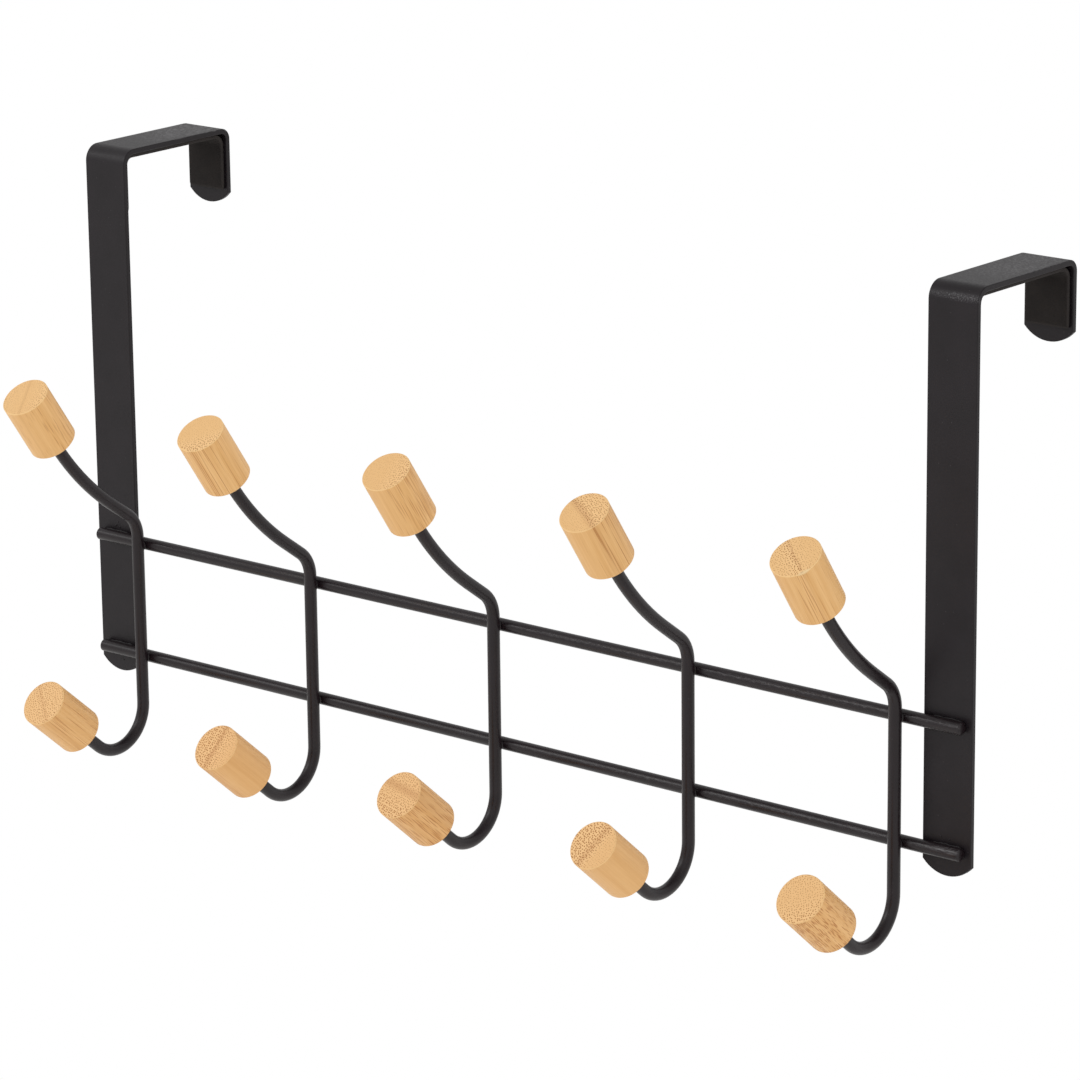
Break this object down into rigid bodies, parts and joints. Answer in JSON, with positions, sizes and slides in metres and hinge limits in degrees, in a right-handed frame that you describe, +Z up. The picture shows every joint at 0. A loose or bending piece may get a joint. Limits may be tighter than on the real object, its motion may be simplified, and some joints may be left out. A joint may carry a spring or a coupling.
{
  "type": "over-door coat rack",
  "caption": "Coat rack that hangs over a door: folded, foam-lined steel straps, wire rails and bent wire double hooks with bamboo knobs.",
  "frame": {"origin": "middle of the door's front top edge: the lining's faces that meet the door are at Y = 0 and Z = 0", "axes": "+X along the rails to the viewer's right, +Y from the room into the door, +Z up"},
  "size_m": [0.369, 0.1164, 0.2085],
  "materials": {
    "black_powder_coat": "satin",
    "bamboo": "matt",
    "black_foam": "matt"
  },
  "bodies": {
    "root": {"door_strap_left": "black_powder_coat", "foam_lining_left": "black_foam", "door_strap_right": "black_powder_coat", "foam_lining_right": "black_foam", "upper_rail": "black_powder_coat", "lower_rail": "black_powder_coat", "hook_wire_1": "black_powder_coat", "upper_knob_1": "bamboo", "lower_knob_1": "bamboo", "hook_wire_2": "black_powder_coat", "upper_knob_2": "bamboo", "lower_knob_2": "bamboo", "hook_wire_3": "black_powder_coat", "upper_knob_3": "bamboo", "lower_knob_3": "bamboo", "hook_wire_4": "black_powder_coat", "upper_knob_4": "bamboo", "lower_knob_4": "bamboo", "hook_wire_5": "black_powder_coat", "upper_knob_5": "bamboo", "lower_knob_5": "bamboo"}
  },
  "joints": []
}
